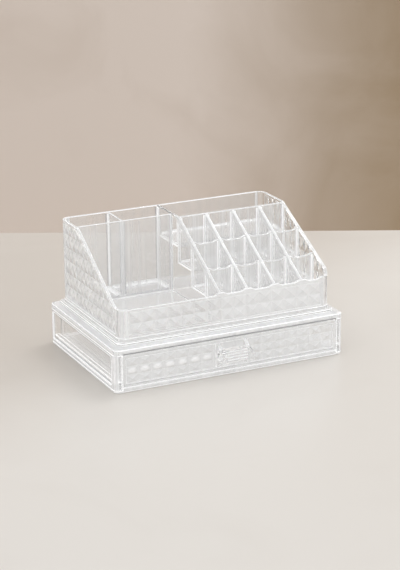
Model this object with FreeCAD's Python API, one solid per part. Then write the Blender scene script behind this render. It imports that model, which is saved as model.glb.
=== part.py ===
import FreeCAD, Part
import math
import os

Vector = FreeCAD.Vector

# Clear plastic makeup organizer: a low cabinet with one drawer, and a display tray that stands on it.
# Millimetres, +Z up, +X to the right and the drawer facing -Y. The origin is on the table, under the
# middle of the cabinet.

# Joints between panels: the film of cement in a glued butt joint, and the slack in a half-lap.
cement_film = 0.1
lap_slack = 0.15

# Cabinet
cabinet_width = 222.0
cabinet_depth = 148.0
cabinet_corner_radius = 5.5
base_thickness = 2.4
base_edge_radius = 1.8
rail_height = 2.4
rail_depth = 3.0
runner_width = 6.0
side_height = 31.7
side_thickness = 2.4
window_recess = 1.2
window_front_border = 8.0
window_back_border = 6.0
window_bottom_border = 3.3
window_top_border = 2.6
window_corner_radius = 2.0
post_width = 7.0
post_depth = 4.0
lip_height = 4.5
lip_edge_radius = 1.2
lip_wall = 3.0
shoulder_rise = 1.5
plinth_inset = 6.0
plinth_rise = 3.2
plinth_edge_radius = 0.9
plinth_plate = 2.4
seat_inset = 8.4
seat_rise = 3.3
seat_edge_radius = 0.6

# Drawer
drawer_side_gap = 0.5
drawer_bottom_gap = 0.2
drawer_top_gap = 0.9
drawer_back_gap = 3.0
drawer_front_thickness = 2.4
drawer_front_setback = 0.4
drawer_front_radius = 2.0
drawer_wall = 1.8
drawer_floor = 1.8
drawer_box_inset = 1.0
drawer_box_height = 24.0
drawer_rim_radius = 0.6

# Drawer pull
pull_width = 29.0
pull_height = 10.8
pull_flare_height = 21.0
pull_flare_depth = 5.0
pull_flare_radius = 6.0
pull_waist_height = 13.0
pull_nose_height = 6.4
pull_reach = 16.0
pull_cheek = 3.2
pull_foot = 1.4
pull_foot_border = 1.0
pull_edge_radius = 0.9
grip_reach = 9.5
grip_rib_count = 4
grip_rib_pitch = 2.6
peg_spacing = 18.0
peg_diameter = 4.0
peg_slack = 0.1

# Tray
tray_inset = 8.9
tray_seat_gap = 0.1
tray_height = 74.1
tray_wall = 2.8
tray_corner_radius = 8.0
tray_floor_thickness = 2.0
rim_radius = 0.8
low_wall_height = 25.1
left_slope_from_back = 39.5
left_slope_from_front = 12.4
right_slope_from_back = 42.5
right_nose_height = 32.6
right_nose_from_front = 7.0
right_nose_run = 3.4
right_nose_radius = 3.0
slope_blend_radius = 8.0

# Facets: pyramids in shallow pockets on the outside of the walls, as high as the plain border round them
facet_rise = 1.0
facet_root = 0.6
facet_rim_band = 2.6
facet_corner_band = 1.2
tray_facet_bottom = 1.6
front_facet_pitch = 12.6
front_facet_rows = 2
side_facet_pitch = 8.3
side_facet_rows = 6
drawer_facet_pitch = 11.7
drawer_facet_rows = 3
drawer_facet_border = 3.0

# Tall boxes at the back left of the tray
tall_box_depth = 30.0
first_tall_box_width = 42.0
tall_wall_thickness = 2.0
tall_rim_radius = 0.6

# Lipstick rack at the right of the tray
slot_width = 23.8
slot_depth = 24.6
divider_thickness = 3.0
divider_rim_radius = 0.8
slot_columns = 4
slot_rows = 3
slot_step = 15.0
rack_floor_thickness = 1.8
rack_front_rise = 2.2
scoop_depth = 1.8
scoop_shoulder = 1.4
scoop_ramp = 4.0
scoop_radius = 4.0
row_wall_drop = 0.6


def box(x0, x1, y0, y1, z0, z1):
    return Part.makeBox(x1 - x0, y1 - y0, z1 - z0, Vector(x0, y0, z0))


def rounded_wire(corners, place):
    """Closed wire through corners (u, v, radius), where place(u, v) gives the point in space."""
    starts, ends, middles = [], [], []
    for index, (u, v, radius) in enumerate(corners):
        corner = Vector(u, v, 0)
        to_last = (Vector(*corners[index - 1][:2], 0) - corner).normalize()
        to_next = (Vector(*corners[(index + 1) % len(corners)][:2], 0) - corner).normalize()
        half_angle = to_last.getAngle(to_next) / 2
        reach = radius / math.tan(half_angle)
        bisector = (to_last + to_next).normalize()
        starts.append(corner + to_last * reach)
        ends.append(corner + to_next * reach)
        middles.append(corner + bisector * (radius / math.sin(half_angle) - radius))
    edges = []
    for index, (u, v, radius) in enumerate(corners):
        start, middle, end = (place(p.x, p.y) for p in (starts[index], middles[index], ends[index]))
        if radius:
            edges.append(Part.Arc(start, middle, end).toShape())
        following = starts[(index + 1) % len(corners)]
        edges.append(Part.LineSegment(end, place(following.x, following.y)).toShape())
    return Part.Wire(edges)


def panel_along_x(corners, x0, x1):
    """Upright panel with its outline (y, z, radius) in a side view, between two planes of x."""
    wire = rounded_wire(corners, lambda y, z: Vector(x0, y, z))
    return Part.Face(wire).extrude(Vector(x1 - x0, 0, 0))


def panel_along_y(corners, y0, y1):
    """Upright panel with its outline (x, z, radius) in a front view, between two planes of y."""
    wire = rounded_wire(corners, lambda x, z: Vector(x, y0, z))
    return Part.Face(wire).extrude(Vector(0, y1 - y0, 0))


def plan_wire(half_width, half_depth, radius, z):
    """Rounded rectangle about the origin, at height z."""
    corners = [(-half_width, -half_depth, radius), (half_width, -half_depth, radius),
               (half_width, half_depth, radius), (-half_width, half_depth, radius)]
    return rounded_wire(corners, lambda x, y: Vector(x, y, z))


def plan_block(half_width, half_depth, radius, z0, z1):
    """Block about the origin with rounded upright corners."""
    return Part.Face(plan_wire(half_width, half_depth, radius, z0)).extrude(Vector(0, 0, z1 - z0))


def round_edges(shape, radius, chosen):
    """Round every edge that the test chooses by its bounding box."""
    return shape.makeFillet(radius, [edge for edge in shape.Edges if chosen(edge.BoundBox)])


def above(height):
    return lambda bounds: bounds.ZMin > height


def round_rim(panel, radius, across, height):
    """Round a panel's rim: the edges above a height that lie along its faces, not across them."""
    span = {"x": lambda bounds: bounds.XLength, "y": lambda bounds: bounds.YLength}[across]
    return round_edges(panel, radius, lambda bounds: bounds.ZMin > height and span(bounds) < radius / 10)


def facet_mat(columns, rows, u0, u1, v0, v1, place):
    """Sheet of raised pyramids over u0..u1 by v0..v1, with a root that sinks into the wall."""
    us = [u0 + (u1 - u0) * i / columns for i in range(columns + 1)]
    vs = [v0 + (v1 - v0) * j / rows for j in range(rows + 1)]
    faces = []
    for left, right in zip(us, us[1:]):
        for low, high in zip(vs, vs[1:]):
            ring = [place(left, low, 0), place(right, low, 0), place(right, high, 0), place(left, high, 0)]
            peak = place((left + right) / 2, (low + high) / 2, facet_rise)
            for start, end in zip(ring, ring[1:] + ring[:1]):
                faces.append(Part.Face(Part.makePolygon([start, end, peak, start])))
    borders = [[(u, v0) for u in us], [(u1, v) for v in vs],
               [(u, v1) for u in us[::-1]], [(u0, v) for v in vs[::-1]]]
    for border in borders:
        outer = [place(u, v, 0) for u, v in border]
        inner = [place(u, v, -facet_root) for u, v in (border[-1], border[0])]
        faces.append(Part.Face(Part.makePolygon(outer + inner + outer[:1])))
    root = [place(u, v, -facet_root) for u, v in ((u0, v0), (u1, v0), (u1, v1), (u0, v1))]
    faces.append(Part.Face(Part.makePolygon(root + root[:1])))
    shell = Part.Shell(faces)
    shell.sewShape()
    solid = Part.Solid(shell)
    if solid.Volume < 0:
        solid.reverse()
    return solid


# Levels and planes that several pieces share
half_width = cabinet_width / 2
half_depth = cabinet_depth / 2
base_top = base_thickness
opening_bottom = base_top + rail_height
opening_half = half_width - post_width
side_bottom = base_top + cement_film
side_top = side_bottom + side_height
lip_bottom = side_top + cement_film
lip_top = lip_bottom + lip_height
plinth_top = lip_top + plinth_rise
seat_top = plinth_top + seat_rise

drawer_half = opening_half - drawer_side_gap
drawer_bottom_z = opening_bottom + drawer_bottom_gap
drawer_front_top = lip_bottom - drawer_top_gap
drawer_face_y = -half_depth + drawer_front_setback + facet_rise
drawer_front_back_y = drawer_face_y + drawer_front_thickness
drawer_box_half = drawer_half - drawer_box_inset
drawer_box_front_y = drawer_front_back_y + cement_film
drawer_box_back_y = half_depth - side_thickness - drawer_back_gap
drawer_box_top = drawer_bottom_z + drawer_box_height
pull_z = (drawer_bottom_z + drawer_front_top) / 2

tray_half_width = half_width - tray_inset
tray_half_depth = half_depth - tray_inset
tray_bottom = seat_top + tray_seat_gap
tray_top = tray_bottom + tray_height
tray_floor_top = tray_bottom + tray_floor_thickness
inner_half_width = tray_half_width - tray_wall
inner_half_depth = tray_half_depth - tray_wall
inner_corner_radius = tray_corner_radius - tray_wall
corner_start_x = tray_half_width - tray_corner_radius
stand_z = tray_floor_top + cement_film
low_wall_top = tray_bottom + low_wall_height

rack_right_x = inner_half_width - cement_film
rack_left_x = rack_right_x - slot_columns * slot_width - (slot_columns - 1) * divider_thickness
rack_side_x = rack_left_x - cement_film - divider_thickness
row_front_y = -inner_half_depth + cement_film
row_wall_ys = [row_front_y + slot_depth * (row + 1) + divider_thickness * row for row in range(slot_rows)]
rack_rear_y = row_wall_ys[-1]
rack_front_top = low_wall_top + rack_front_rise
row_floors = [tray_floor_top + slot_step * row for row in range(slot_rows + 1)]
divider_xs = [rack_left_x + slot_width * (i + 1) + divider_thickness * i for i in range(slot_columns - 1)]

tall_wall_y1 = inner_half_depth - cement_film - tall_box_depth
tall_wall_y0 = tall_wall_y1 - tall_wall_thickness
tall_divider_x = -inner_half_width + cement_film + first_tall_box_width


def rack_line(y):
    """Height of the rack's sloping top at a depth y."""
    share = (y - row_front_y) / (rack_rear_y - row_front_y)
    return rack_front_top + (tray_top - rack_front_top) * share


def lap_height(row):
    """Height where a column divider and a row wall hook into each other."""
    return (row_floors[row + 1] + rack_line(row_wall_ys[row])) / 2


def row_wall_foot(row):
    """Lower edge of the wall behind a row: on the tray's floor, or level with the row's own floor."""
    return stand_z if row == 0 else row_floors[row] - rack_floor_thickness


# Cabinet pieces

def make_cabinet_base():
    plate = plan_block(half_width, half_depth, cabinet_corner_radius, 0, base_top)
    plate = round_edges(plate, base_edge_radius, lambda bounds: bounds.ZMax < base_top / 2)
    rail_half = opening_half - cement_film
    rail = box(-rail_half, rail_half, -half_depth, -half_depth + rail_depth, base_top / 2, opening_bottom)
    plate = plate.fuse(rail)
    runner_back = half_depth - side_thickness - cement_film
    for left in (-drawer_box_half, drawer_box_half - runner_width):
        runner = box(left, left + runner_width, -half_depth + rail_depth, runner_back,
                     base_top / 2, opening_bottom)
        plate = plate.fuse(runner)
    return plate.removeSplitter()


def make_cabinet_side(side):
    inner_x = half_width - side_thickness
    wall = box(inner_x, half_width, -half_depth, half_depth, side_bottom, side_top)
    post = box(opening_half, half_width, -half_depth, -half_depth + post_depth, side_bottom, side_top)
    window = [(-half_depth + window_front_border, side_bottom + window_bottom_border, window_corner_radius),
              (half_depth - window_back_border, side_bottom + window_bottom_border, window_corner_radius),
              (half_depth - window_back_border, side_top - window_top_border, window_corner_radius),
              (-half_depth + window_front_border, side_top - window_top_border, window_corner_radius)]
    recess = panel_along_x(window, half_width - window_recess, half_width)
    outline = plan_block(half_width, half_depth, cabinet_corner_radius, side_bottom, side_top)
    right_side = wall.fuse(post).common(outline).cut(recess).removeSplitter()
    if side > 0:
        return right_side
    return right_side.mirror(Vector(), Vector(1, 0, 0))


def make_cabinet_back():
    half = half_width - side_thickness - cement_film
    wall = box(-half, half, half_depth - side_thickness, half_depth, side_bottom, side_top)
    return wall.common(plan_block(half_width, half_depth, cabinet_corner_radius, side_bottom, side_top))


def make_cabinet_top():
    lip = plan_block(half_width, half_depth, cabinet_corner_radius, lip_bottom, lip_top)
    lip = round_edges(lip, lip_edge_radius, above(lip_top - lip_edge_radius))
    shoulder_foot = plan_wire(half_width - lip_edge_radius, half_depth - lip_edge_radius,
                              cabinet_corner_radius, lip_top)
    shoulder_head = plan_wire(half_width - plinth_inset, half_depth - plinth_inset,
                              cabinet_corner_radius, lip_top + shoulder_rise)
    shoulder = Part.makeLoft([shoulder_foot, shoulder_head], True, True)
    plinth = plan_block(half_width - plinth_inset, half_depth - plinth_inset, cabinet_corner_radius,
                        lip_top, plinth_top)
    plinth = round_edges(plinth, plinth_edge_radius, above(plinth_top - plinth_edge_radius))
    seat_radius = tray_corner_radius + tray_inset - seat_inset
    seat = plan_block(half_width - seat_inset, half_depth - seat_inset, seat_radius, lip_top, seat_top)
    seat = round_edges(seat, seat_edge_radius, above(seat_top - seat_edge_radius))
    cavity_inset = seat_inset + lip_wall
    cavity = plan_block(half_width - cavity_inset, half_depth - cavity_inset, seat_radius - lip_wall,
                        lip_bottom, seat_top - plinth_plate)
    return lip.fuse(shoulder).fuse(plinth).fuse(seat).cut(cavity).removeSplitter()


# Drawer pieces

def make_drawer_front():
    outline = [(x, z, drawer_front_radius) for x, z in (
        (-drawer_half, drawer_bottom_z), (drawer_half, drawer_bottom_z),
        (drawer_half, drawer_front_top), (-drawer_half, drawer_front_top))]
    rim_y = drawer_face_y - facet_rise
    reach = drawer_half - drawer_facet_border
    facets_bottom = drawer_bottom_z + drawer_facet_border
    facets_top = drawer_front_top - drawer_facet_border
    panel = panel_along_y(outline, rim_y, drawer_front_back_y)
    panel = panel.cut(box(-reach, reach, rim_y, drawer_face_y, facets_bottom, facets_top))
    columns = round(2 * reach / drawer_facet_pitch)
    mat = facet_mat(columns, drawer_facet_rows, -reach, reach, facets_bottom, facets_top,
                    lambda u, v, h: Vector(u, drawer_face_y - h, v))
    foot_half = pull_width / 2 + pull_foot_border
    foot_rise = pull_flare_height / 2 + pull_foot_border
    pad = box(-foot_half, foot_half, rim_y, drawer_face_y, pull_z - foot_rise, pull_z + foot_rise)
    front = panel.fuse(mat.cut(pad))
    for x in (-peg_spacing / 2, peg_spacing / 2):
        mouth = Vector(x, drawer_face_y, pull_z)
        hole_radius = peg_diameter / 2 + peg_slack
        front = front.cut(Part.makeCylinder(hole_radius, drawer_front_thickness, mouth, Vector(0, 1, 0)))
    return front.removeSplitter()


def make_drawer_pull():
    foot_y = drawer_face_y - cement_film
    foot = box(-pull_width / 2, pull_width / 2, foot_y - pull_foot, foot_y,
               pull_z - pull_height / 2, pull_z + pull_height / 2)
    nose_y = foot_y - pull_reach
    waist_y = foot_y - pull_flare_depth
    cheek_outline = [(foot_y, pull_z - pull_flare_height / 2, 0), (foot_y, pull_z + pull_flare_height / 2, 0),
                     (waist_y, pull_z + pull_waist_height / 2, pull_flare_radius),
                     (nose_y, pull_z + pull_nose_height / 2, pull_edge_radius),
                     (nose_y, pull_z - pull_nose_height / 2, pull_edge_radius),
                     (waist_y, pull_z - pull_waist_height / 2, pull_flare_radius)]
    pull = foot
    for left in (-pull_width / 2, pull_width / 2 - pull_cheek):
        pull = pull.fuse(panel_along_x(cheek_outline, left, left + pull_cheek))
    rib_radius = grip_rib_pitch / 2
    grip_half_height = grip_rib_count * rib_radius
    rib_y = foot_y - grip_reach + rib_radius
    grip_half = pull_width / 2 - pull_cheek / 2
    pull = pull.fuse(box(-grip_half, grip_half, rib_y, foot_y,
                         pull_z - grip_half_height, pull_z + grip_half_height))
    for rib in range(grip_rib_count):
        rib_z = pull_z - grip_half_height + rib_radius * (2 * rib + 1)
        bar = Part.makeCylinder(rib_radius, 2 * grip_half, Vector(-grip_half, rib_y, rib_z), Vector(1, 0, 0))
        pull = pull.fuse(bar)
    for x in (-peg_spacing / 2, peg_spacing / 2):
        peg_length = drawer_front_thickness + cement_film
        peg = Part.makeCylinder(peg_diameter / 2, peg_length, Vector(x, foot_y, pull_z), Vector(0, 1, 0))
        pull = pull.fuse(peg)
    return pull.removeSplitter()


def make_drawer_side(side):
    bottom = drawer_bottom_z + drawer_floor + cement_film
    outline = [(drawer_box_front_y, bottom, 0), (drawer_box_back_y, bottom, 0),
               (drawer_box_back_y, drawer_box_top, 0), (drawer_box_front_y, drawer_box_top, 0)]
    panel = panel_along_x(outline, drawer_box_half - drawer_wall, drawer_box_half)
    panel = round_rim(panel, drawer_rim_radius, "x", drawer_box_top - drawer_rim_radius)
    if side > 0:
        return panel
    return panel.mirror(Vector(), Vector(1, 0, 0))


def make_drawer_back():
    half = drawer_box_half - drawer_wall - cement_film
    bottom = drawer_bottom_z + drawer_floor + cement_film
    outline = [(-half, bottom, 0), (half, bottom, 0), (half, drawer_box_top, 0), (-half, drawer_box_top, 0)]
    panel = panel_along_y(outline, drawer_box_back_y - drawer_wall, drawer_box_back_y)
    return round_rim(panel, drawer_rim_radius, "y", drawer_box_top - drawer_rim_radius)


def make_drawer_bottom():
    return box(-drawer_box_half, drawer_box_half, drawer_box_front_y, drawer_box_back_y,
               drawer_bottom_z, drawer_bottom_z + drawer_floor)


# Tray pieces

def tray_cavity(film):
    """Space between the tray's walls, smaller all round by a film of cement."""
    return plan_block(inner_half_width - film, inner_half_depth - film, inner_corner_radius - film,
                      tray_bottom, tray_top)


def make_tray_floor():
    return tray_cavity(cement_film).common(box(-half_width, half_width, -half_depth, half_depth,
                                               tray_bottom, tray_floor_top))


def scooped_top(x0, x1, walls, crest):
    """Corners of a scooped rim from right to left, with a crest at each divider between x0 and x1."""
    edges = [x0] + [x for wall in walls for x in (wall, wall + divider_thickness)] + [x1]
    corners = [(x1, crest, 0)]
    for left, right in list(zip(edges[::2], edges[1::2]))[::-1]:
        corners.append((right - scoop_shoulder, crest, scoop_radius))
        corners.append((right - scoop_shoulder - scoop_ramp, crest - scoop_depth, scoop_radius))
        corners.append((left + scoop_shoulder + scoop_ramp, crest - scoop_depth, scoop_radius))
        corners.append((left + scoop_shoulder, crest, scoop_radius))
    return corners


def make_tray_front_wall():
    outline = [(-corner_start_x, tray_bottom, 0), (corner_start_x, tray_bottom, 0)]
    outline += scooped_top(rack_left_x, corner_start_x, divider_xs, rack_front_top)
    outline += [(rack_side_x, rack_front_top, scoop_radius),
                (rack_side_x - scoop_ramp, low_wall_top, scoop_radius), (-corner_start_x, low_wall_top, 0)]
    panel = panel_along_y(outline, -tray_half_depth, -inner_half_depth)
    panel = round_rim(panel, rim_radius, "y", low_wall_top - scoop_depth)
    reach = corner_start_x - facet_corner_band
    facets_bottom = tray_bottom + tray_facet_bottom
    facets_top = min(low_wall_top, rack_front_top - scoop_depth) - facet_rim_band
    pocket_y = -tray_half_depth + facet_rise
    panel = panel.cut(box(-reach, reach, -tray_half_depth, pocket_y, facets_bottom, facets_top))
    columns = round(2 * reach / front_facet_pitch)
    mat = facet_mat(columns, front_facet_rows, -reach, reach, facets_bottom, facets_top,
                    lambda u, v, h: Vector(u, pocket_y - h, v))
    return panel.fuse(mat)


def make_tray_side_wall(side, slope):
    """Side wall with two of the tray's corners; its top runs along slope, a list of (y, z, radius)."""
    butt_x = corner_start_x + cement_film
    top = [(tray_half_depth, tray_top, 0)] + slope
    foot = [(-tray_half_depth, tray_bottom, 0), (tray_half_depth, tray_bottom, 0)]
    shell = plan_block(tray_half_width, tray_half_depth, tray_corner_radius, tray_bottom, tray_top)
    wall = panel_along_x(foot + top, butt_x, tray_half_width).common(shell.cut(tray_cavity(0)))
    facets_bottom = tray_bottom + tray_facet_bottom
    wall = round_edges(wall, rim_radius,
                       lambda bounds: bounds.ZMin > facets_bottom and bounds.XMax > butt_x + rim_radius)
    reach = tray_half_depth - tray_corner_radius - facet_corner_band
    pocket_x = tray_half_width - facet_rise
    lowered_top = [(y, z - facet_rim_band, radius) for y, z, radius in top]
    band = panel_along_x(foot + lowered_top, butt_x, tray_half_width)
    wall = wall.cut(band.common(box(pocket_x, tray_half_width, -reach, reach, facets_bottom, tray_top)))
    columns = round(2 * reach / side_facet_pitch)
    mat = facet_mat(columns, side_facet_rows, -reach, reach, facets_bottom, tray_top,
                    lambda u, v, h: Vector(pocket_x + h, u, v))
    wall = wall.fuse(mat.common(band))
    if side > 0:
        return wall
    return wall.mirror(Vector(), Vector(1, 0, 0))


def make_tray_left_wall():
    slope = [(tray_half_depth - left_slope_from_back, tray_top, slope_blend_radius),
             (-tray_half_depth + left_slope_from_front, low_wall_top, slope_blend_radius),
             (-tray_half_depth, low_wall_top, 0)]
    return make_tray_side_wall(-1, slope)


def make_tray_right_wall():
    nose_y = -tray_half_depth + right_nose_from_front
    slope = [(tray_half_depth - right_slope_from_back, tray_top, slope_blend_radius),
             (nose_y, tray_bottom + right_nose_height, right_nose_radius),
             (nose_y - right_nose_run, rack_front_top, right_nose_radius),
             (-tray_half_depth, rack_front_top, 0)]
    return make_tray_side_wall(1, slope)


def make_tray_back_wall():
    outline = [(-corner_start_x, tray_bottom, 0), (corner_start_x, tray_bottom, 0),
               (corner_start_x, tray_top, 0), (-corner_start_x, tray_top, 0)]
    panel = panel_along_y(outline, inner_half_depth, tray_half_depth)
    return round_rim(panel, rim_radius, "y", tray_top - rim_radius)


def make_tall_box_front_wall():
    x0 = -inner_half_width + cement_film
    x1 = rack_side_x - cement_film
    outline = [(x0, stand_z, 0), (x1, stand_z, 0), (x1, tray_top, 0), (x0, tray_top, 0)]
    panel = panel_along_y(outline, tall_wall_y0, tall_wall_y1)
    return round_rim(panel, tall_rim_radius, "y", tray_top - tall_rim_radius)


def make_tall_box_divider():
    y0 = tall_wall_y1 + cement_film
    y1 = inner_half_depth - cement_film
    outline = [(y0, stand_z, 0), (y1, stand_z, 0), (y1, tray_top, 0), (y0, tray_top, 0)]
    panel = panel_along_x(outline, tall_divider_x, tall_divider_x + tall_wall_thickness)
    return round_rim(panel, tall_rim_radius, "x", tray_top - tall_rim_radius)


# Lipstick rack

def make_rack_side_wall():
    y1 = inner_half_depth - cement_film
    outline = [(row_front_y, stand_z, 0), (y1, stand_z, 0), (y1, tray_top, 0),
               (rack_rear_y, tray_top, slope_blend_radius), (row_front_y, rack_front_top, 0)]
    panel = panel_along_x(outline, rack_side_x, rack_side_x + divider_thickness)
    return round_rim(panel, divider_rim_radius, "x", stand_z)


def make_rack_rear_wall():
    foot = row_wall_foot(slot_rows - 1)
    outline = [(rack_left_x, foot, 0), (rack_right_x, foot, 0),
               (rack_right_x, tray_top, 0), (rack_left_x, tray_top, 0)]
    panel = panel_along_y(outline, rack_rear_y, rack_rear_y + divider_thickness)
    return round_rim(panel, divider_rim_radius, "y", tray_top - divider_rim_radius)


def make_rack_row_wall(row):
    y0 = row_wall_ys[row]
    crest = rack_line(y0) - row_wall_drop
    foot = row_wall_foot(row)
    outline = [(rack_left_x, foot, 0), (rack_right_x, foot, 0)]
    outline += scooped_top(rack_left_x, rack_right_x, divider_xs, crest)
    outline += [(rack_left_x, crest, 0)]
    panel = panel_along_y(outline, y0, y0 + divider_thickness)
    panel = round_rim(panel, divider_rim_radius, "y", crest - scoop_depth - divider_rim_radius)
    for x in divider_xs:
        slot = box(x - lap_slack, x + divider_thickness + lap_slack, y0, y0 + divider_thickness,
                   lap_height(row) - lap_slack, tray_top)
        panel = panel.cut(slot)
    return panel


def make_rack_divider(index):
    x0 = divider_xs[index]
    outline = [(row_front_y, row_floors[0] + cement_film, 0)]
    for row in range(slot_rows - 1):
        front = row_wall_ys[row] - lap_slack
        back = row_wall_ys[row] + divider_thickness + lap_slack
        outline += [(front, row_floors[row] + cement_film, 0), (front, lap_height(row) + lap_slack, 0),
                    (back, lap_height(row) + lap_slack, 0), (back, row_floors[row + 1] + cement_film, 0)]
    y1 = rack_rear_y - cement_film
    outline += [(y1, row_floors[slot_rows - 1] + cement_film, 0), (y1, rack_line(y1), 0),
                (row_front_y, rack_line(row_front_y), 0)]
    panel = panel_along_x(outline, x0, x0 + divider_thickness)
    shortest_rim = (y1 - row_front_y) / 2
    return round_edges(panel, divider_rim_radius, lambda bounds: bounds.YLength > shortest_rim)


def make_rack_floor(row):
    y0 = row_wall_ys[row - 1] + divider_thickness + cement_film
    y1 = (row_wall_ys[row] if row < slot_rows else inner_half_depth) - cement_film
    plate = box(rack_left_x, rack_right_x, y0, y1, row_floors[row] - rack_floor_thickness, row_floors[row])
    return plate.common(tray_cavity(cement_film))


pieces = {
    "cabinet_base": make_cabinet_base(),
    "cabinet_left_side": make_cabinet_side(-1),
    "cabinet_right_side": make_cabinet_side(1),
    "cabinet_back": make_cabinet_back(),
    "cabinet_top": make_cabinet_top(),
    "drawer_front": make_drawer_front(),
    "drawer_pull": make_drawer_pull(),
    "drawer_left_side": make_drawer_side(-1),
    "drawer_right_side": make_drawer_side(1),
    "drawer_back": make_drawer_back(),
    "drawer_bottom": make_drawer_bottom(),
    "tray_floor": make_tray_floor(),
    "tray_front_wall": make_tray_front_wall(),
    "tray_left_wall": make_tray_left_wall(),
    "tray_right_wall": make_tray_right_wall(),
    "tray_back_wall": make_tray_back_wall(),
    "tall_box_front_wall": make_tall_box_front_wall(),
    "tall_box_divider": make_tall_box_divider(),
    "rack_side_wall": make_rack_side_wall(),
    "rack_rear_wall": make_rack_rear_wall(),
    "rear_slot_floor": make_rack_floor(slot_rows),
}
for row in range(slot_rows - 1):
    pieces[f"rack_row_wall_{row + 1}"] = make_rack_row_wall(row)
    pieces[f"rack_floor_{row + 2}"] = make_rack_floor(row + 1)
for column in range(slot_columns - 1):
    pieces[f"rack_divider_{column + 1}"] = make_rack_divider(column)

os.makedirs("parts", exist_ok=True)
for name, shape in pieces.items():
    shape.exportStep(f"parts/{name}.step")
    print(name, shape.isValid(), len(shape.Solids), round(shape.Volume, 1))
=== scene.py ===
import math

import bmesh
import bpy
from mathutils import Euler, Matrix, Vector


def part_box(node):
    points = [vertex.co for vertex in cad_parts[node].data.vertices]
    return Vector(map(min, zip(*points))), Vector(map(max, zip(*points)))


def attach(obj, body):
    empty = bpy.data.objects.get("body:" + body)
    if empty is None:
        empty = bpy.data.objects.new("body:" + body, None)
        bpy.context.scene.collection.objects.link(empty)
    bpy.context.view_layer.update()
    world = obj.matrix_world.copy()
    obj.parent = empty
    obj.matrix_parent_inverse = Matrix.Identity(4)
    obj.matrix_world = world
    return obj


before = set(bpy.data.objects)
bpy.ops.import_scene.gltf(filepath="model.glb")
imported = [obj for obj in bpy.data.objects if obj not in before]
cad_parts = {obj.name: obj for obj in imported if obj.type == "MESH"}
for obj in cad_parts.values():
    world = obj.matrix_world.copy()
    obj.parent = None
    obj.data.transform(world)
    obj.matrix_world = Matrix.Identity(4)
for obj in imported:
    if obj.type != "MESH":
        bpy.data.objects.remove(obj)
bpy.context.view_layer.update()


# Cabinet: the low clear box that everything stands on, moulded in crystal polystyrene.
# Its base, sides, back and stepped top are cemented together. The faces are polished and clear, and
# the edges are painted white as a highlight with a painted glow, with painted shade beside them.
# A dark strip along the foot and one under the lip's front are painted shadow.
class Wire:
    """A socket of a node tree, so that maths on it reads as a Python expression."""

    def __init__(self, tree, socket=None):
        self.tree = tree
        self.socket = socket

    def node(self, kind, settings, sockets, outlet=0):
        made = self.tree.nodes.new(kind)
        for name, value in settings.items():
            setattr(made, name, value)
        for name, value in sockets.items():
            if isinstance(value, Wire):
                self.tree.links.new(value.socket, made.inputs[name])
            else:
                made.inputs[name].default_value = value
        return Wire(self.tree, made.outputs[outlet] if made.outputs else None)

    def maths(self, operation, first, second=0.0):
        return self.node("ShaderNodeMath", {"operation": operation}, {0: first, 1: second})

    def larger(self, first, second):
        return self.maths("MAXIMUM", first, second)

    def steps(self, value, low, high):
        """0 at low, 1 at high and a smooth rise between them; low may be the larger."""
        return self.node(
            "ShaderNodeMapRange",
            {"interpolation_type": "SMOOTHSTEP"},
            {"Value": value, "From Min": low, "From Max": high, "To Min": 0.0, "To Max": 1.0},
        )

    def dot(self, first, second):
        sockets = {0: first, 1: second}
        return self.node("ShaderNodeVectorMath", {"operation": "DOT_PRODUCT"}, sockets, "Value")

    def __add__(self, other):
        return self.maths("ADD", self, other)

    def __sub__(self, other):
        return self.maths("SUBTRACT", self, other)

    def __rsub__(self, other):
        return self.maths("SUBTRACT", other, self)

    def __mul__(self, other):
        return self.maths("MULTIPLY", self, other)

    __radd__ = __add__
    __rmul__ = __mul__


def new_finish(name):
    finish = bpy.data.materials.new(name)
    finish.use_nodes = True
    finish.node_tree.nodes.clear()
    return finish, Wire(finish.node_tree)


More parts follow.
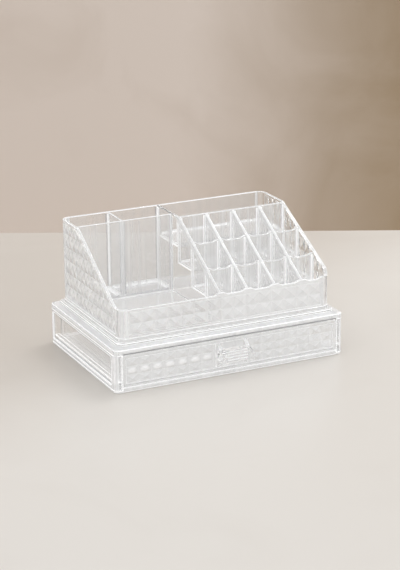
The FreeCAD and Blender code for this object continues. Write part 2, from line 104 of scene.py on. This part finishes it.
def clear_plastic(
    name, haze, line, edge_width, shade=0.5, soft=0.9, hollow=0.7, ripple=0.0, flow=1.0, thin=None, rim=0.0,
    band=0.0, cut=None, painted_shadow_box=None, mist=(), tips=None, paired=0.0, ends=0.0, glow=0.38, passing=0.955,
):
    """Clear plastic with a faint haze and bright edges.

    haze is the milky share of a face, line the share of painted highlight in an edge that is edge_width
    wide, and shade the painted shade beside it. soft is the share of line in a rounded edge, and hollow
    the painted highlight left out of its middle. ripple is the depth of the upright flow lines, and flow
    how much they change the haze. thin is the direction across a panel, rim the haze on its flat rim,
    ends the painted highlight on its left and right ends, and band the haze beside an edge. cut is the
    direction of a painted light on the facets, which makes facets that face it lighter and paints shade
    on those that face away, gap two corners of a box whose upright faces are painted dark as a shadow,
    and mist a row of directions, each with the start, end and share of a thicker haze. tips gives the
    first painted highlight on a facet tip, the distance to the next, and a tip's width and height.
    paired is the depth of the painted shade on one half of an upright cove, whose other half is painted
    as a highlight, glow the painted glow that an edge gives off, and passing the share of light let by.
    """
    streak_scale = (170.0, 170.0, 5.0)
    scuff_scale = 420.0
    edge_samples = 6
    beside_width = 2.6 * edge_width
    no_shade = (1.0, 1.0, 1.0, 1.0)
    # Painted shade: the colour that darkens the clear plastic beside its edges.
    edge_shade = (0.15, 0.16, 0.18, 1.0)
    milk_white = (0.93, 0.94, 0.95, 1.0)
    # A faint painted glow in the milky haze.
    painted_milk_glow = 0.06
    # Painted highlight: the white of the edges, with a painted glow set by glow, though no lamp is there.
    painted_glint_white = (0.92, 0.93, 0.945, 1.0)
    # Painted shadow: the dark put on upright faces inside a given box.
    painted_shadow_dark = (0.14, 0.14, 0.15, 1.0)
    painted_shadow_share = 0.75
    painted_tip_share = 0.24
    finish, tree = new_finish(name)
    place = tree.node("ShaderNodeTexCoord", {}, {}, "Object")
    upright = tree.node("ShaderNodeVectorMath", {"operation": "MULTIPLY"}, {0: place, 1: streak_scale})
    streaks = tree.node("ShaderNodeTexNoise", {}, {"Vector": upright, "Scale": 1.0, "Detail": 2.0})
    scuffs = tree.node("ShaderNodeTexNoise", {}, {"Vector": place, "Scale": scuff_scale, "Detail": 3.0})
    bump = tree.node("ShaderNodeBump", {}, {"Height": streaks, "Strength": ripple, "Distance": 0.001})
    facing = tree.node("ShaderNodeNewGeometry", {}, {}, "Normal")
    sides = tree.node("ShaderNodeVectorMath", {"operation": "ABSOLUTE"}, {0: facing})
    along_x = tree.node("ShaderNodeSeparateXYZ", {}, {"Vector": sides}, "X")
    along_y = tree.node("ShaderNodeSeparateXYZ", {}, {"Vector": sides}, "Y")
    along_z = tree.node("ShaderNodeSeparateXYZ", {}, {"Vector": sides}, "Z")
    squareness = tree.larger(tree.larger(along_x, along_y), along_z)
    near_edge = tree.node("ShaderNodeBevel", {"samples": edge_samples}, {"Radius": edge_width})
    by_edge = tree.node("ShaderNodeBevel", {"samples": edge_samples}, {"Radius": beside_width})
    edge = tree.steps(tree.maths("ABSOLUTE", tree.dot(facing, near_edge)), 0.99, 0.9)
    beside = tree.steps(tree.maths("ABSOLUTE", tree.dot(facing, by_edge)), 0.985, 0.85)
    rounded = tree.steps(squareness, 0.97, 0.9) * (1.0 - hollow * tree.steps(squareness, 0.88, 0.8))
    if thin:
        rounded = tree.steps(squareness, 0.97, 0.85)
        across = tree.maths("ABSOLUTE", tree.dot(facing, thin))
        flat_rim = tree.steps(across, 0.35, 0.1)
        rounded = (1.0 - flat_rim) * rounded * tree.steps(along_z, 0.03, 0.12)
    # Share of painted highlight on sharp and rounded edges.
    painted_highlight_share = tree.larger(line * edge, line * soft * rounded)
    if ends:
        painted_highlight_share = tree.larger(painted_highlight_share, ends * flat_rim * tree.steps(along_x, 0.7, 0.9))
    faceted = tree.steps(squareness, 0.998, 0.985) * tree.steps(squareness, 0.93, 0.96)
    slanted = tree.steps(squareness, 0.93, 0.88)
    upright_face = tree.steps(along_z, 0.97, 0.9)
    # Painted shade beside each edge.
    painted_darkening = shade * beside * (1.0 - edge)
    cloudy = haze * (1.0 + flow * upright_face * (streaks - 0.5))
    # Painted light and shade on the facets: lighter where a facet faces cut, darker where it faces away.
    if cut:
        painted_facet_light = faceted * tree.dot(facing, cut)
        painted_darkening = painted_darkening + tree.larger(0.0 - painted_facet_light, 0.0)
        cloudy = cloudy + tree.larger(painted_facet_light, 0.0)
    if band:
        cloudy = cloudy + band * beside
    # Painted shade on the half of an upright cove that faces front or back, and a painted highlight on the
    # half that faces left or right.
    if paired:
        stands = tree.steps(along_z, 0.05, 0.01)
        light_half = stands * tree.steps(along_x, 0.6, 0.8)
        dark_half = stands * tree.steps(along_y, 0.6, 0.8)
        painted_highlight_share = tree.larger(painted_highlight_share * (1.0 - dark_half), line * light_half)
        painted_darkening = painted_darkening + paired * dark_half
    tint = tree.node(
        "ShaderNodeMix",
        {"data_type": "RGBA"},
        {0: painted_darkening, 6: no_shade, 7: edge_shade},
        2,
    )
    clear = tree.node(
        "ShaderNodeBsdfPrincipled",
        {},
        {
            "Base Color": tint,
            "Roughness": 0.01 + 0.03 * scuffs + 0.14 * faceted + 0.45 * slanted,
            "IOR": 1.5,
            "Transmission Weight": 1.0,
            "Normal": bump,
        },
    )
    milk = tree.node(
        "ShaderNodeBsdfPrincipled",
        {},
        {
            "Base Color": milk_white,
            "Roughness": 0.6,
            "Emission Color": (1.0, 1.0, 1.0, 1.0),
            "Emission Strength": painted_milk_glow,
        },
    )
    # Painted highlight for the edges: white plastic with a painted glow.
    painted_glint = tree.node(
        "ShaderNodeBsdfPrincipled",
        {},
        {
            "Base Color": painted_glint_white,
            "Roughness": 0.2,
            "Emission Color": (1.0, 1.0, 1.0, 1.0),
            "Emission Strength": glow,
        },
    )
    if rim:
        cloudy = cloudy + rim * flat_rim
    for way, start, end, share in mist:
        cloudy = cloudy + share * tree.steps(tree.dot(place, way), start, end)
    # Painted highlights on the facet tips of one row, fading out to the right.
    if tips:
        (first_x, first_z), pitch, wide, tall = tips
        tip_x = tree.node("ShaderNodeSeparateXYZ", {}, {"Vector": place}, "X")
        tip_z = tree.node("ShaderNodeSeparateXYZ", {}, {"Vector": place}, "Z")
        off_x = tree.maths("PINGPONG", tip_x - first_x, pitch / 2) * (1.0 / wide)
        off_z = (tip_z - first_z) * (1.0 / tall)
        painted_spark = tree.steps(off_x * off_x + off_z * off_z, 1.0, 0.0) * tree.steps(tip_x, 0.01, -0.03)
        painted_highlight_share = tree.larger(painted_highlight_share, painted_tip_share * painted_spark)
    hazy = tree.node("ShaderNodeMixShader", {}, {0: cloudy, 1: clear, 2: milk})
    edged = tree.node("ShaderNodeMixShader", {}, {0: painted_highlight_share, 1: hazy, 2: painted_glint})
    # Painted shadow: upright faces inside the box are darkened, as where no light gets in.
    if painted_shadow_box:
        dark = tree.node("ShaderNodeBsdfPrincipled", {}, {"Base Color": painted_shadow_dark, "Roughness": 0.5})
        painted_shadow_mask = None
        for axis, low, high in zip("XYZ", *painted_shadow_box):
            spot = tree.node("ShaderNodeSeparateXYZ", {}, {"Vector": place}, axis)
            within = tree.maths("GREATER_THAN", spot, low) * tree.maths("LESS_THAN", spot, high)
            painted_shadow_mask = painted_shadow_mask * within if painted_shadow_mask else within
        painted_shadow_mask = painted_shadow_share * painted_shadow_mask * upright_face
        edged = tree.node("ShaderNodeMixShader", {}, {0: painted_shadow_mask, 1: edged, 2: dark})
    lamp_side = tree.node("ShaderNodeBsdfTransparent", {}, {"Color": (passing, passing, passing, 1.0)})
    from_lamp = tree.node("ShaderNodeLightPath", {}, {}, "Is Shadow Ray")
    from_matt = tree.node("ShaderNodeLightPath", {}, {}, "Is Diffuse Ray")
    lets_by = tree.larger(from_lamp, from_matt)
    shown = tree.node("ShaderNodeMixShader", {}, {0: lets_by, 1: edged, 2: lamp_side})
    tree.node("ShaderNodeOutputMaterial", {}, {"Surface": shown})
    return finish


def dress(names, finish):
    for name in names:
        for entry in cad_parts[name].material_slots:
            entry.material = finish


upwards = (0.0, 0.0, 1.0)
beyond = 1.0
# The lowest strip of the base's upright faces is painted dark as a contact shadow.
shadow_box_margin = 0.001
foot_shadow_height = 0.0006
foot_shadow_box = ((-beyond, -beyond, -shadow_box_margin), (beyond, beyond, foot_shadow_height))
base_finish = clear_plastic(
    "base_plastic", 0.6, 0.95, 0.0015, 0.8, thin=upwards, painted_shadow_box=foot_shadow_box, glow=0.48, passing=0.92
)
dress(["cabinet_base"], base_finish)
post_start = 0.0655
post_full = 0.0665
post_share = 0.1
frame_start = 0.1102
frame_full = 0.1106
frame_share = 0.4
post_mist = ((0.0, -1.0, 0.0), post_start, post_full, post_share)
for name, way in (("cabinet_left_side", -1.0), ("cabinet_right_side", 1.0)):
    frame_mist = ((way, 0.0, 0.0), frame_start, frame_full, frame_share)
    side_finish = clear_plastic(
        name + "_plastic", 0.04, 0.95, 0.0018, 0.8, 0.3, mist=(post_mist, frame_mist), glow=0.48,
        passing=0.86,
    )
    dress([name], side_finish)
back_pane = clear_plastic("cabinet_back_plastic", 0.04, 0.95, 0.0014, shade=0.8, soft=0.5, passing=0.86)
dress(["cabinet_back"], back_pane)
top_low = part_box("cabinet_top")[0]
front_low, front_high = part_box("drawer_front")
# The lowest strip of the lip's front face, above the drawer, is painted dark as a shadow line.
lip_depth = 0.002
lip_shadow_box = (
    (front_low.x, top_low.y - shadow_box_margin, top_low.z - shadow_box_margin),
    (front_high.x, top_low.y + lip_depth, top_low.z + shadow_box_margin),
)
top_finish = clear_plastic("top_plastic", 0.36, 0.9, 0.0008, 0.7, thin=upwards, painted_shadow_box=lip_shadow_box, passing=0.9)
dress(["cabinet_top"], top_finish)

# Guide ledges: two thin moulded bars along the inner faces of the cabinet's side panes.
# They are of the same clear plastic, with rounded edges painted white as a highlight with a painted
# glow, so each shows as a pair of white lines under its window.
pane_thickness = 0.0024
ledge_low = 0.0083
ledge_high = 0.0095
ledge_reach = 0.0049
ledge_ends = 0.005
ledge_film = 0.0001
ledge_round = 0.0003
ledges = bmesh.new()
for side_name, way in (("cabinet_left_side", 1.0), ("cabinet_right_side", -1.0)):
    side_low, side_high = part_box(side_name)
    pane_x = (side_low.x if way > 0 else side_high.x) + way * (pane_thickness + ledge_film)
    length = side_high.y - side_low.y - 2 * ledge_ends
    middle = (pane_x + way * ledge_reach / 2, (side_low.y + side_high.y) / 2, (ledge_low + ledge_high) / 2)
    extent = Matrix.Diagonal((ledge_reach, length, ledge_high - ledge_low, 1.0))
    bmesh.ops.create_cube(ledges, size=1.0, matrix=Matrix.Translation(middle) @ extent)
bmesh.ops.bevel(
    ledges, geom=list(ledges.edges), offset=ledge_round, segments=2, affect="EDGES", profile=0.5
)
ledge_mesh = bpy.data.meshes.new("guide_ledges")
ledges.to_mesh(ledge_mesh)
ledges.free()
ledge_mesh.materials.append(clear_plastic("ledge_plastic", 0.1, 1.0, 0.003, shade=0.2, glow=0.7))
guide_ledges = bpy.data.objects.new("guide_ledges", ledge_mesh)
bpy.context.scene.collection.objects.link(guide_ledges)
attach(guide_ledges, "cabinet")


# Drawer: a shallow clear box with a thicker faceted front, which slides on two strips of the base.
# Its sides, back and bottom are cemented to the front, and their rims are polished round.
# Painted highlights sit on the tips of the middle row of facets, on the left half of the front, and the
# facets carry a painted light and painted shade.
left_right = (1.0, 0.0, 0.0)
front_back = (0.0, 1.0, 0.0)
border = 0.003
facet_columns = 17
tip_width = 0.005
tip_height = 0.003
pitch = (front_high.x - front_low.x - 2 * border) / facet_columns
tip_row = (front_low.x + border + pitch / 2, (front_low.z + front_high.z) / 2)
door_finish = clear_plastic(
    "drawer_front_plastic", 0.32, 0.65, 0.0008, cut=(0.15, 0.0, 0.4),
    tips=(tip_row, pitch, tip_width, tip_height),
)
dress(["drawer_front"], door_finish)
drawer_sides = ["drawer_left_side", "drawer_right_side"]
dress(drawer_sides, clear_plastic("drawer_side_plastic", 0.05, 0.6, 0.0005, thin=left_right, rim=0.4))
dress(["drawer_back"], clear_plastic("drawer_back_plastic", 0.06, 0.6, 0.0005, thin=front_back, rim=0.4))
dress(["drawer_bottom"], clear_plastic("drawer_floor_plastic", 0.1, 0.6, 0.0006))

# Pull: a ribbed bar between two cheeks that flare out to the drawer's front.
# It is one small moulding of the same clear plastic, pegged through the front and cemented.
dress(["drawer_pull"], clear_plastic("pull_plastic", 0.18, 0.45, 0.0005, soft=0.6))


# Tray: the upper storey, four walls cemented round a floor, with round corners and facets outside.
# It stands loose on the cabinet's plinth. Its rims are flame-polished, and their white is a painted
# highlight. Its facets carry a painted light and painted shade, and the front wall is milkier where
# the rack stands behind it.
left_finish = clear_plastic(
    "tray_left_plastic", 0.22, 0.5, 0.0006, ripple=0.02, thin=left_right, rim=0.3, cut=(0.0, -0.6, 2.2)
)
dress(["tray_left_wall"], left_finish)
right_finish = clear_plastic(
    "tray_right_plastic", 0.06, 0.25, 0.0006, ripple=0.35, thin=left_right, rim=0.3, cut=(0.0, -0.4, 1.0)
)
dress(["tray_right_wall"], right_finish)
rack_start = -0.03
rack_full = 0.01
rack_share = 0.36
rack_mist = (left_right, rack_start, rack_full, rack_share)
front_finish = clear_plastic(
    "tray_front_plastic", 0.14, 0.4, 0.0006, 0.25, thin=front_back, rim=0.2, cut=(0.8, 0.0, 0.8),
    mist=[rack_mist],
)
dress(["tray_front_wall"], front_finish)
back_finish = clear_plastic("tray_back_plastic", 0.17, 0.8, 0.0006, ripple=0.06, thin=front_back, rim=0.5)
dress(["tray_back_wall"], back_finish)
dress(["tray_floor"], clear_plastic("tray_floor_plastic", 0.04, 0.6, 0.0006))

# Tall boxes: a front wall and a divider at the back left, which make two boxes for brushes.
# Both are flat clear panels with faint upright flow lines, cemented to the tray's floor and walls.
tall_front = clear_plastic(
    "tall_front_plastic", 0.22, 0.7, 0.0005, ripple=0.08, flow=2.5, thin=front_back, rim=0.4
)
dress(["tall_box_front_wall"], tall_front)
tall_middle = clear_plastic(
    "tall_divider_plastic", 0.14, 0.7, 0.0005, ripple=0.05, thin=left_right, rim=0.4
)
dress(["tall_box_divider"], tall_middle)

# Lipstick rack: sloping column dividers half-lapped into row walls, over stepped floors.
# The moulded panels have upright flow lines and milky sloping crests. The left and right faces of the
# rows and floors are painted as white highlights, which show as steps through the rack's clear side
# wall.
rack_columns = ["rack_side_wall", "rack_divider_1", "rack_divider_2", "rack_divider_3"]
rack_rows = ["rack_row_wall_1", "rack_row_wall_2", "rack_rear_wall"]
rack_floors = ["rack_floor_2", "rack_floor_3", "rear_slot_floor"]
front_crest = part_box("tray_front_wall")[1]
rear_low, rear_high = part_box("rack_rear_wall")
slope_way = Vector((0.0, front_crest.z - rear_high.z, rear_low.y - front_crest.y)).normalized()
crest = slope_way.dot(Vector((0.0, rear_low.y, rear_high.z)))
crest_start = 0.005
crest_full = 0.004
crest_share = 0.5
crest_mist = (tuple(slope_way), crest - crest_start, crest - crest_full, crest_share)
rack_side_finish = clear_plastic(
    "rack_side_plastic", 0.06, 0.1, 0.0006, 0.1, thin=left_right, mist=[crest_mist]
)
dress(rack_columns[:1], rack_side_finish)
column_finish = clear_plastic(
    "rack_column_plastic", 0.22, 0.1, 0.0006, 0.1, ripple=0.02, flow=3.0, thin=left_right, mist=[crest_mist]
)
dress(rack_columns[1:], column_finish)
row_finish = clear_plastic(
    "rack_row_plastic", 0.27, 0.15, 0.0009, 0.1, ripple=0.02, flow=4.0, thin=front_back, rim=0.2, band=0.4,
    ends=0.9,
)
dress(rack_rows, row_finish)
step_finish = clear_plastic(
    "rack_floor_plastic", 0.2, 0.4, 0.0006, thin=upwards, rim=0.2, ends=1.0, glow=0.6
)
dress(rack_floors, step_finish)


# Coves: the hollow rounds that the mould leaves where a compartment's walls meet its floor and each
# other. They are part of the same plastic; their bright and dark lines are painted highlights and
# painted shade.
def cove_tree(finish):
    tree = bpy.data.node_groups.new("coves", "GeometryNodeTree")
    lengths = ["Width", "Depth", "Corner", "Cove", "Post"]
    heights = ["Front Left", "Front Right", "Back Right", "Back Left"]
    for name in lengths + heights:
        tree.interface.new_socket(name, in_out="INPUT", socket_type="NodeSocketFloat")
    tree.interface.new_socket("Middle", in_out="INPUT", socket_type="NodeSocketVector")
    tree.interface.new_socket("Geometry", in_out="OUTPUT", socket_type="NodeSocketGeometry")
    net = Wire(tree)
    given = net.node("NodeGroupInput", {}, {}).socket.node
    size = {socket.name: Wire(tree, socket) for socket in given.outputs if socket.name}
    arc_steps = 6

    def hollow_corner(radius):
        """The strip's section: a square corner at the origin, cut back to a hollow arc."""
        count = net.node("GeometryNodeInputIndex", {}, {})
        angle = -math.pi / 2 - (count - 1.0) * (math.pi / 2 / arc_steps)
        on_arc = net.maths("GREATER_THAN", count, 0.5)
        reach = radius * on_arc
        spot = net.node(
            "ShaderNodeCombineXYZ",
            {},
            {
                "X": reach * (1.0 + net.maths("COSINE", angle)),
                "Y": reach * (1.0 + net.maths("SINE", angle)),
            },
        )
        ring = net.node("GeometryNodeCurvePrimitiveCircle", {}, {"Resolution": arc_steps + 2})
        return net.node("GeometryNodeSetPosition", {}, {"Geometry": ring, "Position": spot})

    outline = net.node(
        "GeometryNodeCurvePrimitiveQuadrilateral", {}, {"Width": size["Width"], "Height": size["Depth"]}
    )
    outline = net.node(
        "GeometryNodeFilletCurve",
        {"mode": "POLY"},
        {"Curve": outline, "Count": 5, "Radius": size["Corner"], "Limit Radius": True},
    )
    outline = net.node("GeometryNodeSetCurveNormal", {"mode": "Z_UP"}, {"Curve": outline})
    inward = hollow_corner(0.0 - size["Cove"])
    parts = [net.node("GeometryNodeCurveToMesh", {}, {"Curve": outline, "Profile Curve": inward})]
    section = hollow_corner(size["Post"])
    corners = [(-0.5, -0.5), (0.5, -0.5), (0.5, 0.5), (-0.5, 0.5)]
    for turn, (name, (side, end)) in enumerate(zip(heights, corners)):
        top = net.node("ShaderNodeCombineXYZ", {}, {"Z": size[name] - size["Cove"]})
        path = net.node("GeometryNodeCurvePrimitiveLine", {}, {"End": top})
        post = net.node(
            "GeometryNodeCurveToMesh", {}, {"Curve": path, "Profile Curve": section, "Fill Caps": True}
        )
        foot = net.node(
            "ShaderNodeCombineXYZ",
            {},
            {"X": side * size["Width"], "Y": end * size["Depth"], "Z": size["Cove"]},
        )
        post = net.node(
            "GeometryNodeTransform",
            {},
            {"Geometry": post, "Translation": foot, "Rotation": (0.0, 0.0, turn * math.pi / 2)},
        )
        wanted = net.maths("GREATER_THAN", size[name], size["Cove"])
        parts.append(
            net.node("GeometryNodeSwitch", {"input_type": "GEOMETRY"}, {"Switch": wanted, "True": post})
        )
    joined = net.node("GeometryNodeJoinGeometry", {}, {})
    for part in parts:
        tree.links.new(part.socket, joined.socket.node.inputs["Geometry"])
    moved = net.node(
        "GeometryNodeTransform",
        {},
        {"Geometry": joined, "Translation": size["Middle"]},
    )
    real = net.node("GeometryNodeRealizeInstances", {}, {"Geometry": moved})
    dressed = net.node("GeometryNodeSetMaterial", {}, {"Geometry": real, "Material": finish})
    net.node("NodeGroupOutput", {}, {"Geometry": dressed})
    return tree


def add_coves(name, body, finish, spaces):
    """One mesh with the coves of all the given spaces; each space is low corner, high corner, sizes."""
    clearance = 0.00005
    tree = cove_tree(finish)
    whole = bmesh.new()
    for low, high, corner, cove, post, tops in spaces:
        holder = bpy.data.objects.new(name, bpy.data.meshes.new(name))
        bpy.context.scene.collection.objects.link(holder)
        values = {
            "Width": high[0] - low[0] - 2 * clearance,
            "Depth": high[1] - low[1] - 2 * clearance,
            "Corner": corner,
            "Cove": cove,
            "Post": post,
            "Middle": ((low[0] + high[0]) / 2, (low[1] + high[1]) / 2, low[2] + clearance),
        }
        for label, top in zip(("Front Left", "Front Right", "Back Right", "Back Left"), tops):
            values[label] = max(0.0, top - low[2])
        maker = holder.modifiers.new("coves", "NODES")
        maker.node_group = tree
        for item in tree.interface.items_tree:
            if item.in_out == "INPUT":
                maker[item.identifier] = values[item.name]
        seen = holder.evaluated_get(bpy.context.evaluated_depsgraph_get())
        made = bpy.data.meshes.new_from_object(seen)
        whole.from_mesh(made)
        bpy.data.meshes.remove(made)
        bpy.data.objects.remove(holder)
    mesh = bpy.data.meshes.new(name)
    whole.to_mesh(mesh)
    whole.free()
    mesh.materials.append(finish)
    mesh.shade_smooth()
    mesh.set_sharp_from_angle(angle=math.radians(40))
    piece = bpy.data.objects.new(name, mesh)
    bpy.context.scene.collection.objects.link(piece)
    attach(piece, body)


# Painted highlights on the cove edges with painted shade beside them; the tall coves also have one half
# painted dark and one painted bright.
cove_finish = clear_plastic("cove_plastic", 0.2, 0.95, 0.0004, shade=0.8)
tall_cove_finish = clear_plastic(
    "tall_cove_plastic", 0.25, 0.9, 0.0004, shade=0.15, hollow=0.2, paired=0.35
)
low_cove_finish = clear_plastic("low_cove_plastic", 0.1, 0.35, 0.0004, shade=0.3)
slot_corner = 0.003
tray_corner = 0.0052
rear_corner = 0.007
slot_cove = 0.0014
wide_cove = 0.0018
tall_cove = 0.0028
low_cove = 0.0008
post_reach = 0.0015
tall_reach = 0.002
crest_gap = 0.0014
floor_low, floor_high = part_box("tray_floor")
column_boxes = [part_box(name) for name in rack_columns]
row_boxes = [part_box("tray_front_wall")] + [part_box(name) for name in rack_rows]
slot_floors = [floor_high.z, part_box("rack_floor_2")[1].z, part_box("rack_floor_3")[1].z]
tray_spaces = []
for row, slot_floor in enumerate(slot_floors):
    front_wall, rear_wall = row_boxes[row], row_boxes[row + 1]
    front_top, rear_top = front_wall[1].z - crest_gap, rear_wall[1].z - crest_gap
    for column, left_wall in enumerate(column_boxes):
        last = column + 1 == len(column_boxes)
        right = floor_high.x if last else column_boxes[column + 1][0].x
        at_corner = last and row == 0
        tray_spaces.append(
            (
                (left_wall[1].x, front_wall[1].y, slot_floor),
                (right, rear_wall[0].y, slot_floor),
                tray_corner if at_corner else slot_corner,
                slot_cove,
                post_reach,
                (front_top, 0.0 if at_corner else front_top, rear_top, rear_top),
            )
        )
rear_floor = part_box("rear_slot_floor")[1].z
side_wall = column_boxes[0]
rim_top = side_wall[1].z - crest_gap
tall_spaces = [
    (
        (side_wall[1].x, row_boxes[-1][1].y, rear_floor),
        (floor_high.x, floor_high.y, rear_floor),
        rear_corner,
        wide_cove,
        tall_reach,
        (rim_top, rim_top, 0.0, rim_top),
    )
]
tall_low, tall_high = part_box("tall_box_front_wall")
middle_low, middle_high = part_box("tall_box_divider")
for left, right, rear_left in (
    (floor_low.x, middle_low.x, 0.0),
    (middle_high.x, side_wall[0].x, rim_top),
):
    tall_spaces.append(
        (
            (left, tall_high.y, floor_high.z),
            (right, floor_high.y, floor_high.z),
            tray_corner,
            tall_cove,
            tall_reach,
            (rim_top, rim_top, rim_top, rear_left),
        )
    )
low_wall_top = 0.0705
low_top = low_wall_top - crest_gap
open_space = (
    (floor_low.x, floor_low.y, floor_high.z),
    (side_wall[0].x, tall_low.y, floor_high.z),
    tray_corner,
    low_cove,
    post_reach,
    (0.0, low_top, rim_top, rim_top),
)
add_coves("tray_coves", "tray", cove_finish, tray_spaces)
add_coves("tall_coves", "tray", tall_cove_finish, tall_spaces)
add_coves("compartment_coves", "tray", low_cove_finish, [open_space])
drawer_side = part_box("drawer_left_side")
drawer_top = drawer_side[1].z - crest_gap
drawer_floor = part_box("drawer_bottom")[1].z
drawer_space = (
    (drawer_side[1].x, drawer_side[0].y, drawer_floor),
    (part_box("drawer_right_side")[0].x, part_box("drawer_back")[0].y, drawer_floor),
    slot_corner,
    wide_cove,
    post_reach,
    (drawer_top, drawer_top, drawer_top, drawer_top),
)
add_coves("drawer_coves", "drawer", cove_finish, [drawer_space])


# Table: a pale stone slab, honed to a low gloss, that the organizer stands on.
# It is painted a little darker towards the back left, as painted shade. It is stage, not part of the
# object.
view_azimuth = math.radians(-25.82)
heading = Vector((-math.sin(view_azimuth), math.cos(view_azimuth), 0.0))
along = Vector((heading.y, -heading.x, 0.0))
table_reach = 3.0


def flat_sheet(name, corners, finish):
    mesh = bpy.data.meshes.new(name)
    mesh.from_pydata(corners, [], [tuple(range(len(corners)))])
    mesh.materials.append(finish)
    sheet = bpy.data.objects.new(name, mesh)
    bpy.context.scene.collection.objects.link(sheet)
    return sheet


def one_sided_finish(name, near, far, way, start, end, gloss):
    """Surface whose colour goes from near to far along a direction, with faint clouds.

    It shows only from its front, so that nothing stands in the way of a view from behind.
    """
    cloud_depth = 0.5
    finish, tree = new_finish(name)
    place = tree.node("ShaderNodeTexCoord", {}, {}, "Object")
    cloud = tree.node(
        "ShaderNodeTexNoise", {}, {"Vector": place, "Scale": 7.0, "Detail": 5.0, "Distortion": 1.2}
    )
    share = tree.steps(tree.dot(place, way), start, end) + cloud_depth * (cloud - 0.5)
    tint = tree.node("ShaderNodeMix", {"data_type": "RGBA"}, {0: share, 6: near, 7: far}, 2)
    skin = tree.node("ShaderNodeBsdfPrincipled", {}, {"Base Color": tint, "Roughness": gloss})
    unseen = tree.node("ShaderNodeBsdfTransparent", {}, {})
    from_behind = tree.node("ShaderNodeNewGeometry", {}, {}, "Backfacing")
    shown = tree.node("ShaderNodeMixShader", {}, {0: from_behind, 1: skin, 2: unseen})
    tree.node("ShaderNodeOutputMaterial", {}, {"Surface": shown})
    return finish


table_near = (0.765, 0.73, 0.685, 1.0)
table_painted_shade = (0.625, 0.575, 0.52, 1.0)
table_way = tuple(0.6 * heading - 0.8 * along)
flat_sheet(
    "table",
    [
        (-table_reach, -table_reach, 0.0),
        (table_reach, -table_reach, 0.0),
        (table_reach, table_reach, 0.0),
        (-table_reach, table_reach, 0.0),
    ],
    one_sided_finish("table_stone", table_near, table_painted_shade, table_way, -0.08, 0.18, 0.32),
)

# Wall: a matt painted backdrop square to the view, a short way behind the organizer.
# It is painted darker to the right, as a painted shadow. It keeps no light off the object or the table. It
# is stage.
wall_distance = 0.37
wall_height = 0.45
wall_left = (0.785, 0.69, 0.62, 1.0)
wall_painted_shadow = (0.38, 0.28, 0.18, 1.0)
wall_middle = heading * wall_distance
wall_top = Vector((0.0, 0.0, wall_height))
wall = flat_sheet(
    "wall",
    [
        wall_middle - along * table_reach,
        wall_middle + along * table_reach,
        wall_middle + along * table_reach + wall_top,
        wall_middle - along * table_reach + wall_top,
    ],
    one_sided_finish("wall_paint", wall_left, wall_painted_shadow, tuple(along), -0.05, 0.25, 0.7),
)
wall.visible_diffuse = False
wall.visible_shadow = False

# Light: plain soft studio light from a pale room that is a little brighter above.
# A broad soft lamp stands high on the right, and a weaker one fills in from the left front.
room = bpy.data.worlds.new("room")
room.use_nodes = True
room.node_tree.nodes.clear()
sky = Wire(room.node_tree)
ray = sky.node("ShaderNodeTexCoord", {}, {}, "Generated")
height = sky.node("ShaderNodeSeparateXYZ", {}, {"Vector": ray}, "Z")
glow = sky.node(
    "ShaderNodeMix",
    {"data_type": "RGBA"},
    {0: sky.steps(height, 0.0, 0.5), 6: (0.95, 0.95, 0.96, 1.0), 7: (1.0, 1.0, 1.0, 1.0)},
    2,
)
air = sky.node("ShaderNodeBackground", {}, {"Color": glow, "Strength": 0.74})
sky.node("ShaderNodeOutputWorld", {}, {"Surface": air})
bpy.context.scene.world = room


def soft_lamp(name, place, target, size, power):
    lamp = bpy.data.lights.new(name, "AREA")
    lamp.size = size
    lamp.energy = power
    holder = bpy.data.objects.new(name, lamp)
    holder.location = place
    holder.rotation_euler = (Vector(target) - Vector(place)).to_track_quat("-Z", "Y").to_euler()
    bpy.context.scene.collection.objects.link(holder)


organizer_middle = (0.0, 0.0, 0.05)
soft_lamp("key_lamp", (1.0, 0.35, 1.5), organizer_middle, 0.8, 13.0)
soft_lamp("fill_lamp", (-1.4, -1.2, 1.1), organizer_middle, 0.9, 4.0)

# Camera: a long lens in front of the organizer's left corner, looking down on it.
# Its place, tilt and slight roll were fitted to the organizer's straight edges.
camera_data = bpy.data.cameras.new("photo_camera")
camera_data.lens = 117.2
camera_data.sensor_width = 36.0
camera = bpy.data.objects.new("photo_camera", camera_data)
view_elevation = math.radians(18.16)
view_roll = math.radians(-0.41)
camera_place = (-0.684, -1.424, 0.578)
turn = Euler((math.pi / 2 - view_elevation, 0.0, view_azimuth)).to_matrix()
turn = turn @ Matrix.Rotation(view_roll, 3, "Z")
camera.matrix_world = Matrix.Translation(camera_place) @ turn.to_4x4()
bpy.context.scene.collection.objects.link(camera)
bpy.context.scene.camera = camera

# Light paths: the tray puts many clear walls one behind another, so light may pass many of them.
# Bright spots through glass are left to the finishes, which keeps the picture clean.
cycles = bpy.context.scene.cycles
cycles.max_bounces = 40
cycles.transmission_bounces = 40
cycles.glossy_bounces = 16
cycles.transparent_max_bounces = 64
cycles.caustics_refractive = False
cycles.caustics_reflective = False
bpy.context.scene.view_settings.view_transform = "Standard"
